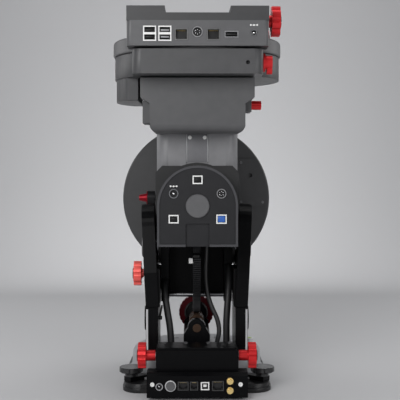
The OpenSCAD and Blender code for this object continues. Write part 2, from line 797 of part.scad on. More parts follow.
module dec_drum() {
    color(charcoal) translate([0, dec_y, 0]) difference() {
        union() {
            translate([0, 0, cup_low]) cylinder(r = cup_r, h = front_top - cup_low);
            intersection() {
                translate([0, 0, tier_low]) cylinder(r = cup_r - 2, h = cup_low - tier_low + 1);
                box([-far, -tier_x - 2], [-62, 62], [0, far]);
            }
        }
        translate([0, 0, cup_low - 1]) cylinder(r = bearing_r, h = 100);
        translate([0, 0, cup_low + cup_floor]) cylinder(r = cup_r - cup_wall, h = 100);
    }
}
module dec_bearing() {
    color(steel) translate([0, dec_y, body_step + 4]) difference() {
        cylinder(r = bearing_r, h = 22);
        translate([0, 0, -1]) cylinder(r = shaft_r + run_gap, h = 30);
    }
}
module dec_shaft() {
    color(steel) translate([0, dec_y, body_step + 2]) cylinder(r = shaft_r, h = disc_low - body_step - 2);
}
module dec_worm_wheel() {
    color(brass) translate([0, dec_y, cup_low + cup_floor + 3]) difference() {
        cylinder(r = cup_r - cup_wall - 2.5, h = 16);
        translate([0, 0, -1]) cylinder(r = shaft_r, h = 30);
    }
}
module dec_disc() {
    color(charcoal) translate([0, dec_y, disc_low]) rotate_extrude($fn = 128) polygon(concat(
        [[0, 0]], arc([disc_r - 2, 2], 2, 270, 360, 3), arc([disc_r - 4, disc_h - 4], 4, 0, 90, 4), [[0, disc_h]]
    ));
}

// Saddle

// Pocket that the moving jaw runs in
module jaw_room() {
    box(jaw_pocket, [jaw_y[0] - jaw_gap, jaw_y[1] + jaw_gap], [jaw_foot - jaw_gap, far]);
}
module saddle_plate() {
    color(charcoal) difference() {
        union() {
            box([-saddle_r + 9, saddle_r - 3], [saddle_box_back + 0.5, saddle_back], [disc_top, box_seam]);
            box([-saddle_r, saddle_r], [saddle_front, saddle_back], [box_seam, floor_z]);
            box([-saddle_r, saddle_r], [saddle_front, cap_back], [box_seam, saddle_top]);
            box([jaw_pocket[1], saddle_r], [saddle_front, saddle_back], [box_seam, saddle_top]);
        }
        box([-slot_r, slot_r], [-far, far], [floor_z, far]);
        jaw_room();
        for (y = knob_ys) translate([0, y, knob_z]) cyl_x(stud_r + run_gap, jaw_pocket[1] - 1, far);
    }
}
module fixed_jaw() {
    color(charcoal) along_y(cap_back, saddle_back) polygon([
        [-saddle_r, floor_z], [-slot_r - undercut, floor_z], [-slot_r, saddle_top], [-saddle_r, saddle_top]
    ]);
}
// The jaw opens outwards; its leg runs in the pocket of the saddle plate
module moving_jaw() {
    top = saddle_top;
    color(charcoal) difference() {
        along_y(jaw_y[0], jaw_y[1]) polygon([
            [slot_r + undercut, floor_z + jaw_gap], [jaw_leg[0], floor_z + jaw_gap], [jaw_leg[0], jaw_foot],
            [jaw_leg[1], jaw_foot], [jaw_leg[1], top], [slot_r, top]
        ]);
        for (y = knob_ys) translate([0, y, knob_z]) cyl_x(stud_r + run_gap, jaw_leg[0] + 4, far);
    }
}
module saddle_knob(y) {
    color(red) translate([0, y, knob_z]) {
        cyl_x(stud_r, jaw_leg[0] + 12, saddle_r + 4);
        cyl_x(8, saddle_r + seat_gap, saddle_r + star_hub_t);
        translate([saddle_r + star_hub_t, 0, 0]) rotate([0, 90, 0]) star(star_r, star_t);
    }
}
module saddle_knob_front() saddle_knob(knob_ys[0]);
module saddle_knob_rear() saddle_knob(knob_ys[1]);
module saddle_box() {
    mid = (saddle_front + saddle_box_back) / 2;
    color(charcoal) difference() {
        translate([0, mid, saddle_box_low]) linear_extrude(box_seam - saddle_box_low)
            round_rect(2 * saddle_r, saddle_box_back - saddle_front, 6);
        sockets(saddle_sockets, saddle_front - 1, saddle_front + 8, panel_gap);
        translate([0, dec_y, 0]) cylinder(r = disc_r + panel_gap, h = disc_top);
        jaw_room();
    }
}
module saddle_ports() {
    color(steel) sockets(saddle_sockets, saddle_front - 0.4, saddle_front + 8);
}

base_plate();
azimuth_peg();
clamp_shoes();
lock_knob_front_left();
lock_knob_front_right();
lock_knob_rear_left();
lock_knob_rear_right();
turntable();
fork_uprights();
fork_arm_left();
fork_arm_right();
gear_bracket();
azimuth_block();
control_box();
control_ports();
antenna_sockets();
level_vial();
left_lead();
right_lead();
cross_lead();
azimuth_screw_left();
azimuth_screw_right();
azimuth_knob_left();
azimuth_knob_right();
latitude_lock_knob();
power_button();
worm_shaft();
hand_wheel();
ra_housing();
latitude_frame();
ra_rear_cover();
ra_worm_cover();
ra_bearings();
trunnions();
latitude_sector();
tie_rod();
ra_shaft();
ra_worm_wheel();
hub();
control_panel();
panel_ports();
sight_cap();
neck();
dec_body();
dec_front_cover();
dec_drum();
dec_bearing();
ra_lock_knob();
gear_lever();
dec_thumbscrew();
dec_shaft();
dec_worm_wheel();
dec_disc();
saddle_plate();
fixed_jaw();
saddle_box();
saddle_ports();
moving_jaw();
saddle_knob_front();
saddle_knob_rear();
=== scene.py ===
import json
import math

import bmesh
import bpy
from mathutils import Matrix, Vector


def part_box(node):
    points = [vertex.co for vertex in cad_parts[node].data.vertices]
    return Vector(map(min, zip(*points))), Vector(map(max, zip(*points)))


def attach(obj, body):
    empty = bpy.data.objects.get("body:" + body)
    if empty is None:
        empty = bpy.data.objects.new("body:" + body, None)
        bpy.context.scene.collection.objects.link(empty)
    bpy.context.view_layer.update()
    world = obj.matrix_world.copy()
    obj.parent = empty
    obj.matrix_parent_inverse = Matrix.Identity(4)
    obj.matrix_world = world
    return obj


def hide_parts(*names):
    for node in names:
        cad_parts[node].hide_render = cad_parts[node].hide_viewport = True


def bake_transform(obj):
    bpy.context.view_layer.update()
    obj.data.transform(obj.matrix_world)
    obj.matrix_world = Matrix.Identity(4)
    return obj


# Sizes are in metres; mm turns a size in millimetres into metres
mm = 0.001

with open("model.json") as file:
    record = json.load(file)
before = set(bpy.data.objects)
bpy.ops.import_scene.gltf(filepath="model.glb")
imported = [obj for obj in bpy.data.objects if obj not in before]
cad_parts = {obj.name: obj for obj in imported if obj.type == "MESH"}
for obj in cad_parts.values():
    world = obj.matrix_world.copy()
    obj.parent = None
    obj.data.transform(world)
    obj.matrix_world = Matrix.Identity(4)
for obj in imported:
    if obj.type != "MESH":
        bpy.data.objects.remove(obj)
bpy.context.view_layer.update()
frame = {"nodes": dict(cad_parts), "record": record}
nodes = frame["nodes"]
print("frame loaded")


# Materials

# Noise scales per metre, share by which the roughness varies, depth of the fine relief in millimetres
grain = {"scale": 90.0, "detail": 4.0, "fineScale": 1620.0, "wear": 0.15, "depth": 0.2}


def surface(name, base, rough, metal=0.0, spread=0.12, bump=0.04, gloss=0.5):
    mat = bpy.data.materials.new(name)
    mat.use_nodes = True
    tree = mat.node_tree
    bsdf = tree.nodes["Principled BSDF"]
    coords = tree.nodes.new("ShaderNodeTexCoord")
    noise = tree.nodes.new("ShaderNodeTexNoise")
    noise.inputs["Scale"].default_value = grain["scale"]
    noise.inputs["Detail"].default_value = grain["detail"]
    tree.links.new(coords.outputs["Object"], noise.inputs["Vector"])
    tint = tree.nodes.new("ShaderNodeMix")
    tint.data_type = "RGBA"
    tint.inputs["A"].default_value = [c * (1 - spread) for c in base] + [1]
    tint.inputs["B"].default_value = [min(1, c * (1 + spread)) for c in base] + [1]
    tree.links.new(noise.outputs["Fac"], tint.inputs["Factor"])
    tree.links.new(tint.outputs["Result"], bsdf.inputs["Base Color"])
    wear = tree.nodes.new("ShaderNodeMapRange")
    wear.inputs["To Min"].default_value = rough * (1 - grain["wear"])
    wear.inputs["To Max"].default_value = min(1, rough * (1 + grain["wear"]))
    tree.links.new(noise.outputs["Fac"], wear.inputs["Value"])
    tree.links.new(wear.outputs["Result"], bsdf.inputs["Roughness"])
    fine = tree.nodes.new("ShaderNodeTexNoise")
    fine.inputs["Scale"].default_value = grain["fineScale"]
    tree.links.new(coords.outputs["Object"], fine.inputs["Vector"])
    relief = tree.nodes.new("ShaderNodeBump")
    relief.inputs["Strength"].default_value = bump
    relief.inputs["Distance"].default_value = grain["depth"] * mm
    tree.links.new(fine.outputs["Fac"], relief.inputs["Height"])
    tree.links.new(relief.outputs["Normal"], bsdf.inputs["Normal"])
    bsdf.inputs["Metallic"].default_value = metal
    bsdf.inputs["Specular IOR Level"].default_value = gloss
    return mat


# Second colour where the coordinate along one axis passes a limit, such as behind a lip
def twoTone(mat, other, axis, limit, above=True, metal=None):
    tree = mat.node_tree
    bsdf = tree.nodes["Principled BSDF"]
    coords = tree.nodes.new("ShaderNodeTexCoord")
    split = tree.nodes.new("ShaderNodeSeparateXYZ")
    tree.links.new(coords.outputs["Object"], split.inputs["Vector"])
    test = tree.nodes.new("ShaderNodeMath")
    test.operation = "GREATER_THAN" if above else "LESS_THAN"
    test.inputs[1].default_value = limit
    tree.links.new(split.outputs[axis], test.inputs[0])
    mix = tree.nodes.new("ShaderNodeMix")
    mix.data_type = "RGBA"
    before = bsdf.inputs["Base Color"].links[0].from_socket
    tree.links.new(before, mix.inputs["A"])
    mix.inputs["B"].default_value = list(other) + [1]
    tree.links.new(test.outputs["Value"], mix.inputs["Factor"])
    tree.links.new(mix.outputs["Result"], bsdf.inputs["Base Color"])
    if metal is not None:
        blend = tree.nodes.new("ShaderNodeMix")
        blend.inputs["A"].default_value = bsdf.inputs["Metallic"].default_value
        blend.inputs["B"].default_value = metal
        tree.links.new(test.outputs["Value"], blend.inputs["Factor"])
        tree.links.new(blend.outputs["Result"], bsdf.inputs["Metallic"])
    return mat


inkBlack = (0.012, 0.012, 0.013)

blackPaint = surface("blackPaint", (0.0025, 0.0025, 0.003), 0.34, gloss=0.1)
charcoalPaint = surface("charcoalPaint", (0.062, 0.062, 0.065), 0.42, gloss=0.4)
paleCast = surface("paleCast", (0.4, 0.404, 0.415), 0.36, metal=0.35, spread=0.06)
blackPlastic = surface("blackPlastic", (0.007, 0.007, 0.007), 0.45, bump=0.1, gloss=0.35)
glossBlack = surface("glossBlack", (0.02, 0.02, 0.021), 0.24, gloss=0.6)
redAnodised = surface("redAnodised", (0.66, 0.024, 0.028), 0.3, metal=0.55, spread=0.08)
steel = surface("steel", (0.5, 0.5, 0.52), 0.3, metal=1.0)
darkSteel = surface("darkSteel", (0.16, 0.16, 0.165), 0.4, metal=0.8)
blackSteel = surface("blackSteel", (0.022, 0.022, 0.024), 0.35, metal=0.5)
bronze = surface("bronze", (0.075, 0.045, 0.03), 0.35, metal=0.8)
# Darker red than the knobs: painted shade for the hand wheel lying in shadow behind the block
shadedWheelRed = surface("shadedWheelRed", (0.2, 0.006, 0.014), 0.35, metal=0.4)
lightRed = surface("lightRed", (0.95, 0.13, 0.11), 0.35, metal=0.25)
brass = surface("brass", (0.62, 0.42, 0.16), 0.28, metal=1.0)
# Gold brightened and only part metallic: a painted reflection standing in for the bright highlights real
# gold would catch
gold = surface("gold", (0.88, 0.66, 0.28), 0.25, metal=0.6)
whitePlastic = surface("whitePlastic", (0.8, 0.8, 0.79), 0.45, spread=0.04)
bluePlastic = surface("bluePlastic", (0.025, 0.11, 0.42), 0.4)
greyPlastic = surface("greyPlastic", (0.28, 0.28, 0.29), 0.45)
chrome = surface("chrome", (0.75, 0.75, 0.77), 0.14, metal=1.0, spread=0.03)
# Pale, weakly metallic tone: a painted highlight and reflection standing in for bright chrome and polished
# edges, used on the button bezel, the vial ring and the uprights' chamfer bands
paintedHighlightMetal = surface("paintedHighlightMetal", (0.62, 0.62, 0.63), 0.3, metal=0.3)
leadRubber = surface("leadRubber", (0.014, 0.014, 0.015), 0.5, bump=0.12)
vialGreen = surface("vialGreen", (0.55, 0.75, 0.2), 0.1)

slotLooks = {
    "black_paint": blackPaint,
    "charcoal_paint": charcoalPaint,
    "pale_cast": paleCast,
    "black_plastic": blackPlastic,
    "red_anodised": redAnodised,
    "steel": steel,
    "brass": brass,
    "lead_sheath": leadRubber,
}
slotOf = {part["node"]: part["material_slot"] for part in frame["record"]["subparts"]}

# Nodes with a look of their own
nodeLooks = {
    "latitude_sector": blackSteel,
    "worm_shaft": bronze,
    "hand_wheel": shadedWheelRed,
    "antenna_sockets": gold,
    "power_button": darkSteel,
    "latitude_lock_knob": lightRed,
}
for corner in ("front_left", "front_right", "rear_left", "rear_right"):
    nodeLooks["lock_knob_" + corner] = glossBlack

# Painted castings that are lighter or darker than the rest, all of a slightly cool grey; the tones are
# partly the castings' own paint and partly painted light and shade for how each part is lit, such as painted
# shade on the front cover under the saddle's overhang
castTonesWithShade = {
    "base_plate": 0.012, "neck": 0.2, "sight_cap": 0.1, "hub": 0.018, "dec_body": 0.085,
    "dec_front_cover": 0.07, "dec_disc": 0.1, "saddle_box": 0.1, "saddle_plate": 0.05,
    "ra_housing": 0.05, "ra_worm_cover": 0.05,
}
castCoat = {"cool": 1.04, "rough": 0.42, "gloss": 0.4}
for nodeName, tone in castTonesWithShade.items():
    castBase = (tone, tone, tone * castCoat["cool"])
    nodeLooks[nodeName] = surface(nodeName + "Paint", castBase, castCoat["rough"], gloss=castCoat["gloss"])


def paintNode(name, mat):
    data = nodes[name].data
    data.materials.clear()
    data.materials.append(mat)


for nodeName in nodes:
    look = nodeLooks.get(nodeName, slotLooks.get(slotOf[nodeName]))
    if look:
        paintNode(nodeName, look)

# Edges are broken a little where the shapes are plain, by these widths in millimetres
edgeBreaks = {
    "saddle_plate": 0.8, "saddle_box": 0.8, "dec_front_cover": 0.8, "dec_drum": 0.8, "control_box": 0.6,
    "azimuth_block": 0.6, "fork_uprights": 0.6, "fork_arm_left": 1.2, "fork_arm_right": 1.2,
    "base_plate": 0.8, "neck": 0.6, "hub": 0.6, "moving_jaw": 0.4, "fixed_jaw": 0.4,
}
edgeBreak = {"weld": 0.002, "segments": 2, "angle": 40}


def breakEdges(obj, width):
    weld = obj.modifiers.new("weld", "WELD")
    weld.merge_threshold = edgeBreak["weld"] * mm
    edge = obj.modifiers.new("edgeBreak", "BEVEL")
    edge.width = width * mm
    edge.segments = edgeBreak["segments"]
    edge.limit_method = "ANGLE"
    edge.angle_limit = math.radians(edgeBreak["angle"])
    edge.harden_normals = True
    edge.use_clamp_overlap = True


for nodeName, width in edgeBreaks.items():
    breakEdges(nodes[nodeName], width)

# Sockets have a bright lip and a dark inside
shellTones = {"control_ports": 0.1, "panel_ports": 0.16, "saddle_ports": 0.22}
shellLip = 0.9
for nodeName, tone in shellTones.items():
    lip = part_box(nodeName)[0][1]
    shell = surface(nodeName + "Shell", (tone, tone, tone), 0.3, metal=0.8)
    paintNode(nodeName, twoTone(shell, inkBlack, "Y", lip + shellLip * mm, metal=0.0))

# The panel's raised rim is paler than its face: a painted highlight along the rim's edges
# Depths behind the rim: where the pale tone ends, where the sockets' insides start, and the face
panelRim = {"tone": (0.055, 0.055, 0.06), "deep": 0.7, "toSockets": 1, "toFace": 1.5}
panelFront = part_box("control_panel")[0][1]
panelPaint = surface("panelPaint", (0.015, 0.015, 0.017), 0.42, gloss=0.3)
rimHighlightBack = panelFront + panelRim["deep"] * mm
paintNode("control_panel", twoTone(panelPaint, panelRim["tone"], "Y", rimHighlightBack, above=False))

# The polar lock's collar is black and its tip red
lockTip = 11
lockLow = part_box("ra_lock_knob")[0][0]
lockPaint = surface("lockPaint", (0.2, 0.005, 0.012), 0.3, metal=0.4, gloss=0.15)
paintNode("ra_lock_knob", twoTone(lockPaint, inkBlack, "X", lockLow + lockTip * mm, metal=0.0))
print("materials set")


# Shapes

frontward = (0, -1, 0)
joinGap = 0.001  # points nearer than this many millimetres are one


def addBox(bm, centre, size, bevel=0.0):
    made = bmesh.ops.create_cube(bm, size=1.0)["verts"]
    bmesh.ops.scale(bm, verts=made, vec=Vector(size))
    bmesh.ops.translate(bm, verts=made, vec=Vector(centre))
    if bevel:
        edges = list({edge for vert in made for edge in vert.link_edges})
        bmesh.ops.bevel(bm, geom=edges, offset=bevel, affect="EDGES", segments=2, profile=0.5, material=-1)


# Turned shape: profile of (radius, distance along the axis)
def addTurned(bm, profile, centre, axis, steps=32):
    along = Vector(axis).normalized()
    side = along.orthogonal().normalized()
    verts = [bm.verts.new(Vector(centre) + along * distance + side * radius) for radius, distance in profile]
    edges = [bm.edges.new(pair) for pair in zip(verts, verts[1:])]
    bmesh.ops.spin(bm, geom=verts + edges, cent=centre, axis=along, angle=2 * math.pi, steps=steps,
                   use_merge=True)


# Profile written in millimetres, or in shares of a radius
def inMm(profile, scale=1):
    return [(radius * scale * mm, distance * scale * mm) for radius, distance in profile]


def makePiece(name, bm, mat, body, smooth=35.0):
    bmesh.ops.remove_doubles(bm, verts=bm.verts, dist=joinGap * mm)
    bmesh.ops.recalc_face_normals(bm, faces=bm.faces)
    mesh = bpy.data.meshes.new(name)
    bm.to_mesh(mesh)
    bm.free()
    mesh.materials.append(mat)
    mesh.shade_smooth()
    mesh.set_sharp_from_angle(angle=math.radians(smooth))
    obj = bpy.data.objects.new(name, mesh)
    bpy.context.scene.collection.objects.link(obj)
    if body:
        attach(obj, body)
    return obj


# Lower declination body: the casting's front foot is rounded by a fan of plane cuts

bodyCast = {"radius": 12, "cuts": 8, "edge": 1.2, "cutGap": 0.0001}


def makeBodyCast():
    bm = bmesh.new()
    bm.from_mesh(nodes["dec_body"].data)
    bmesh.ops.remove_doubles(bm, verts=bm.verts, dist=edgeBreak["weld"] * mm)
    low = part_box("dec_body")[0]
    radius = bodyCast["radius"] * mm
    for k in range(1, bodyCast["cuts"] + 1):
        turn = math.pi / 2 * k / (bodyCast["cuts"] + 1)
        outward = Vector((0, -math.cos(turn), -math.sin(turn)))
        place = Vector((0, low[1] + radius, low[2] + radius)) + outward * radius
        whole = bm.verts[:] + bm.edges[:] + bm.faces[:]
        cut = bmesh.ops.bisect_plane(bm, geom=whole, dist=bodyCast["cutGap"] * mm, plane_co=place,
                                     plane_no=outward, clear_outer=True)["geom_cut"]
        rim = [part for part in cut if isinstance(part, bmesh.types.BMEdge)]
        bmesh.ops.holes_fill(bm, edges=rim, sides=0)
    cast = makePiece("decBodyCast", bm, nodeLooks["dec_body"], "ra_rotor")
    breakEdges(cast, bodyCast["edge"])
    evenOut = cast.modifiers.new("evenOut", "WEIGHTED_NORMAL")
    evenOut.keep_sharp = True
    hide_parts("dec_body")


makeBodyCast()
print("body rounded")


# Leads: radius and route in millimetres

leadPaths = {
    "left_lead": {
        "radius": 5,
        "points": [(-38, -34, 48), (-38, -34, 62), (-40, -33, 84), (-44, -30, 108), (-47, -22, 128),
                   (-48, -11, 140), (-48, 0, 145)],
    },
    "right_lead": {
        "radius": 5,
        "points": [(44, -34, 48), (44, -34, 62), (44, -34, 90), (46, -31, 120), (48, -23, 146),
                   (48, -11, 162), (48, 0, 168)],
    },
    "cross_lead": {
        "radius": 3.4,
        "points": [(29, -40, 48), (30, -40, 60), (33, -40, 76), (30, -38, 94), (22, -34, 112),
                   (15, -29, 134), (13, -25, 160), (14, -22, 186), (15, -20, 211.8)],
    },
}


# Smooth path through the points, with each stretch cut into four
def smoothPath(points, parts=4):
    ends = [points[0]] + points + [points[-1]]
    path = []
    for i in range(1, len(ends) - 2):
        p0, p1, p2, p3 = ends[i - 1:i + 3]
        for k in range(parts):
            t = k / parts
            path.append(0.5 * (2 * p1 + (p2 - p0) * t + (2 * p0 - 5 * p1 + 4 * p2 - p3) * t * t
                               + (3 * p1 - p0 - 3 * p2 + p3) * t ** 3))
    return path + [points[-1]]


def makeLead(nodeName, path, sides=16):
    points = smoothPath([Vector(p) * mm for p in path["points"]])
    radius = path["radius"] * mm
    turns = [2 * math.pi * k / sides for k in range(sides)]
    bm = bmesh.new()
    rings = []
    side = Vector((1, 0, 0))
    for i, point in enumerate(points):
        way = (points[min(i + 1, len(points) - 1)] - points[max(i - 1, 0)]).normalized()
        side = (side - way * side.dot(way)).normalized()
        up = way.cross(side)
        ring = [point + radius * (math.cos(a) * side + math.sin(a) * up) for a in turns]
        rings.append([bm.verts.new(place) for place in ring])
    for first, second in zip(rings, rings[1:]):
        for k in range(sides):
            n = (k + 1) % sides
            bm.faces.new((first[k], first[n], second[n], second[k]))
    bm.faces.new(rings[0])
    bm.faces.new(rings[-1])
    lead = makePiece(nodeName + "Sheath", bm, leadRubber, None)
    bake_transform(lead)
    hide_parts(nodeName)


for leadName, leadPath in leadPaths.items():
    makeLead(leadName, leadPath)
print("leads made")


# Sockets: what is inside each shell, with places and sizes in millimetres
# A row holds x, z, width and height, or x, z and radius, and then the look and size of its block

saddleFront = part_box("saddle_box")[0][1]
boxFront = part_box("control_box")[0][1]

socketGroups = {
    "saddle": {
        "body": "dec_head", "front": saddleFront,
        "stack": [(-60, 485, 16.5, 19, "black"), (-41, 485, 16.5, 19, "grey")],
        "network": [(-20.5, 484, 16, 14), (19.5, 484, 16, 14)],
        "flat": [(42, 484, 17, 8)],
        "pins": [(-0.5, 487, 6.6)],
        "barrel": [(70, 486, 4)],
    },
    "panel": {
        "body": "ra_rotor", "front": panelFront + panelRim["toSockets"] * mm,
        "square": [(0, 302, 13, 11, "black", 0.4, 0.3), (-31, 251, 13, 11, "black", 0.4, 0.3),
                   (31, 251, 13.5, 12, "blue", 0.68, 0.66)],
        "pins": [(31, 284, 6.2)],
        "barrel": [(-31, 284, 6.2)],
    },
    "control": {
        "body": "table", "front": boxFront,
        "network": [(-19.3, 20.5, 14.6, 12), (-4.4, 20.5, 11, 12), (28, 20.5, 16, 13.5)],
        "square": [(10.5, 20.5, 11.5, 11, "white", 0.4, 0.3)],
        "barrel": [(-51.8, 19.5, 5)],
    },
}
socketLooks = {
    "white": whitePlastic,
    "black": blackPlastic,
    "grey": greyPlastic,
    "blue": bluePlastic,
    "gold": gold,
    "chrome": chrome,
}


# Box in a socket: the middle figure of its place is how far in it lies
def addInside(bm, front, place, size, bevel=0.0):
    x, inward, z = place
    addBox(bm, (x * mm, front + inward * mm, z * mm), Vector(size) * mm, bevel * mm)


# Frame of four bars standing a little proud of the socket's lip
def addBars(bm, front, x, z, wide, high, fit):
    bar, deep, inward = fit["bar"], fit["barDeep"], -fit["barProud"]
    for sign in (-1, 1):
        addInside(bm, front, (x + sign * (wide - bar) / 2, inward, z), (bar, deep, high))
        addInside(bm, front, (x, inward, z + sign * (high - bar) / 2), (wide - 2 * bar, deep, bar))


# Ring round a mouth, with its walls in shares of the socket's radius
def addRing(bm, front, x, z, radius, fit):
    outer, inner, high = radius * fit["outer"], radius * fit["inner"], fit["ringHigh"]
    ring = [(outer, 0), (outer, high), (inner, high), (inner, 0), (outer, 0)]
    addTurned(bm, inMm(ring), (x * mm, front, z * mm), frontward)


stackFit = {"trim": 0.2, "bar": 1.5, "barDeep": 0.5, "barProud": 0.7,
            "shelfProud": 0.2, "shelfShort": 3.2, "shelfDeep": 1.4, "shelfHigh": 2.8,
            "tongue": (10.5, 5, 2.2), "tongueIn": 3.2, "tongueRise": 4.2, "round": 0.3}


def addStack(parts, front, x, z, wide, high, tongue):
    fit = stackFit
    addBars(parts["white"], front, x, z, wide - fit["trim"], high - fit["trim"], fit)
    shelf = (wide - fit["shelfShort"], fit["shelfDeep"], fit["shelfHigh"])
    addInside(parts["white"], front, (x, -fit["shelfProud"], z), shelf)
    for sign in (-1, 1):
        place = (x, fit["tongueIn"], z + sign * fit["tongueRise"])
        addInside(parts[tongue], front, place, fit["tongue"], fit["round"])


networkFit = {"wideFrom": 12, "wideCount": 8, "slimCount": 6, "margin": 5,
              "contact": (0.4, 3, 0.8), "contactIn": 4.5, "contactDrop": 2.2,
              "cheek": (2.6, 5, 2.2), "cheekIn": 2.6, "cheekEdge": 2.4, "cheekRise": 2.2}


def addNetwork(parts, front, x, z, wide, high):
    fit = networkFit
    count = fit["wideCount"] if wide > fit["wideFrom"] else fit["slimCount"]
    for k in range(count):
        across = (k - (count - 1) / 2) * (wide - fit["margin"]) / count
        place = (x + across, fit["contactIn"], z + high / 2 - fit["contactDrop"])
        addInside(parts["gold"], front, place, fit["contact"])
    for sign in (-1, 1):
        place = (x + sign * (wide / 2 - fit["cheekEdge"]), fit["cheekIn"], z - high / 2 + fit["cheekRise"])
        addInside(parts["black"], front, place, fit["cheek"])


flatFit = {"bar": 0.9, "barDeep": 0.5, "barProud": 0.5,
           "tongueIn": 3.2, "tongueShort": 5, "tongueDeep": 5, "tongueHigh": 2, "round": 0.3}


def addFlat(parts, front, x, z, wide, high):
    fit = flatFit
    addBars(parts["grey"], front, x, z, wide, high, fit)
    tongue = (wide - fit["tongueShort"], fit["tongueDeep"], fit["tongueHigh"])
    addInside(parts["black"], front, (x, fit["tongueIn"], z), tongue, fit["round"])


squareFit = {"bar": 1.5, "barDeep": 0.5, "barProud": 0.6, "blockIn": 2, "blockDeep": 3.6, "round": 0.4}


def addSquare(parts, front, x, z, wide, high, look, blockWide, blockHigh):
    fit = squareFit
    addBars(parts["white"], front, x, z, wide, high, fit)
    block = (wide * blockWide, fit["blockDeep"], high * blockHigh)
    addInside(parts[look], front, (x, fit["blockIn"], z), block, fit["round"])


pinFit = {"outer": 0.99, "inner": 0.87, "ringHigh": 1.1,
          "count": 6, "first": 30, "circle": 0.42,
          "pin": [(0.5, 0), (0.5, 2), (0, 2.3)], "pinIn": 2.2, "steps": 10,
          "key": (2.2, 2.4, 1.4), "keyIn": 1.2, "keyDrop": 0.55}


def addPins(parts, front, x, z, radius):
    fit = pinFit
    addRing(parts["grey"], front, x, z, radius, fit)
    out = radius * fit["circle"]
    for k in range(fit["count"]):
        turn = math.radians(360 / fit["count"] * k + fit["first"])
        place = ((x + out * math.cos(turn)) * mm, front + fit["pinIn"] * mm, (z + out * math.sin(turn)) * mm)
        addTurned(parts["chrome"], inMm(fit["pin"]), place, frontward, steps=fit["steps"])
    addInside(parts["black"], front, (x, fit["keyIn"], z - radius * fit["keyDrop"]), fit["key"])


barrelFit = {"outer": 0.99, "inner": 0.8, "ringHigh": 1,
             "pin": [(1, 0), (1, 4.6), (0, 5)], "pinIn": 5, "steps": 16}


def addBarrel(parts, front, x, z, radius):
    fit = barrelFit
    addRing(parts["chrome"], front, x, z, radius, fit)
    place = (x * mm, front + fit["pinIn"] * mm, z * mm)
    addTurned(parts["chrome"], inMm(fit["pin"]), place, frontward, steps=fit["steps"])


socketMakers = {
    "stack": addStack,
    "network": addNetwork,
    "flat": addFlat,
    "square": addSquare,
    "pins": addPins,
    "barrel": addBarrel,
}


def fillSockets(groupName, group):
    parts = {look: bmesh.new() for look in socketLooks}
    for kind, addSocket in socketMakers.items():
        for row in group.get(kind, []):
            addSocket(parts, group["front"], *row)
    for look, bm in parts.items():
        if bm.faces:
            pieceName = groupName + look.capitalize() + "Inserts"
            piece = makePiece(pieceName, bm, socketLooks[look], group["body"])
        else:
            bm.free()


for groupName, group in socketGroups.items():
    fillSockets(groupName, group)
print("sockets filled")


# Screws

# Cap screw: a turned head with a recess, standing on its seat
# Height, top and recess are shares of the radius; chamfer and floor are shares of the height
screwHead = {"height": 0.55, "chamfer": 0.7, "top": 0.82, "recess": 0.5, "floor": 0.2, "steps": 24}


def addScrew(bm, centre, axis, radius):
    height = radius * screwHead["height"]
    recess = radius * screwHead["recess"]
    floor = height * screwHead["floor"]
    profile = [(radius, 0), (radius, height * screwHead["chamfer"]), (radius * screwHead["top"], height),
               (recess, height), (recess, floor), (0, floor)]
    addTurned(bm, profile, centre, axis, steps=screwHead["steps"])


# Screws of the rear cover stand on a circle
coverRing = {"radius": 100, "y": 92, "z": 268, "turns": range(30, 390, 60)}
coverPlaces = [(coverRing["radius"] * math.cos(math.radians(turn)), coverRing["y"],
                coverRing["z"] + coverRing["radius"] * math.sin(math.radians(turn)))
               for turn in coverRing["turns"]]

# Places in millimetres, the way the heads point and their radius
screwSets = {
    "neckScrews": {"body": "ra_rotor", "axis": (0, -1, 0), "radius": 2.6, "look": whitePlastic,
                   "places": [(-10, -138.6, 358), (10, -138.6, 358)]},
    "boxScrews": {"body": "table", "axis": (0, -1, 0), "radius": 3, "look": whitePlastic,
                  "places": [(-61.2, -142, 22.6), (58.9, -142, 22.6)]},
    "coverScrews": {"body": "ra_stator", "axis": (0, 1, 0), "radius": 3.4, "look": steel,
                    "places": coverPlaces},
    "wormCoverScrews": {"body": "ra_stator", "axis": (0, -1, 0), "radius": 2.2, "look": darkSteel,
                        "places": [(70, 53, 262), (70, 53, 324), (104, 53, 262)]},
    "blockScrews": {"body": "table", "axis": (0, 0, 1), "radius": 3.2, "look": darkSteel,
                    "places": [(-46, -92, 69), (46, -92, 69), (-16, -92, 69), (16, -92, 69)]},
    "bodyScrews": {"body": "ra_rotor", "axis": (0, 1, 0), "radius": 3, "look": darkSteel,
                   "places": [(-50, -20, 380), (50, -20, 380), (-60, -20, 425), (60, -20, 425)]},
}
for setName, screws in screwSets.items():
    screwMesh = bmesh.new()
    for place in screws["places"]:
        addScrew(screwMesh, Vector(place) * mm, screws["axis"], screws["radius"] * mm)
    makePiece(setName, screwMesh, screws["look"], screws["body"])
print("screws set")


# Dark inlay down the neck, with pale edges

inlay = {"half": 14.8, "low": 325, "high": 362.5, "back": -137.5, "thick": 1.1, "edge": 1.2,
         "edgeProud": 0.45, "round": 0.2}
inlayPaint = surface("inlayPaint", (0.16, 0.16, 0.17), 0.42, gloss=0.4)


def makeInlay():
    middle = (inlay["low"] + inlay["high"]) / 2
    tall = inlay["high"] - inlay["low"]
    face = inlay["back"] - inlay["thick"] / 2
    corner = inlay["round"] * mm
    plate = bmesh.new()
    plateSize = Vector((2 * inlay["half"], inlay["thick"], tall)) * mm
    addBox(plate, Vector((0, face, middle)) * mm, plateSize, corner)
    makePiece("neckInlay", plate, inlayPaint, "ra_rotor")
    edges = bmesh.new()
    edgeSize = Vector((inlay["edge"], inlay["thick"], tall)) * mm
    for sign in (-1, 1):
        across = sign * (inlay["half"] - inlay["edge"] / 2)
        addBox(edges, Vector((across, face - inlay["edgeProud"], middle)) * mm, edgeSize, corner)
    makePiece("neckInlayEdges", edges, paleCast, "ra_rotor")


makeInlay()


# Black caps on the outer faces of the red knobs, with the profile in shares of the radius

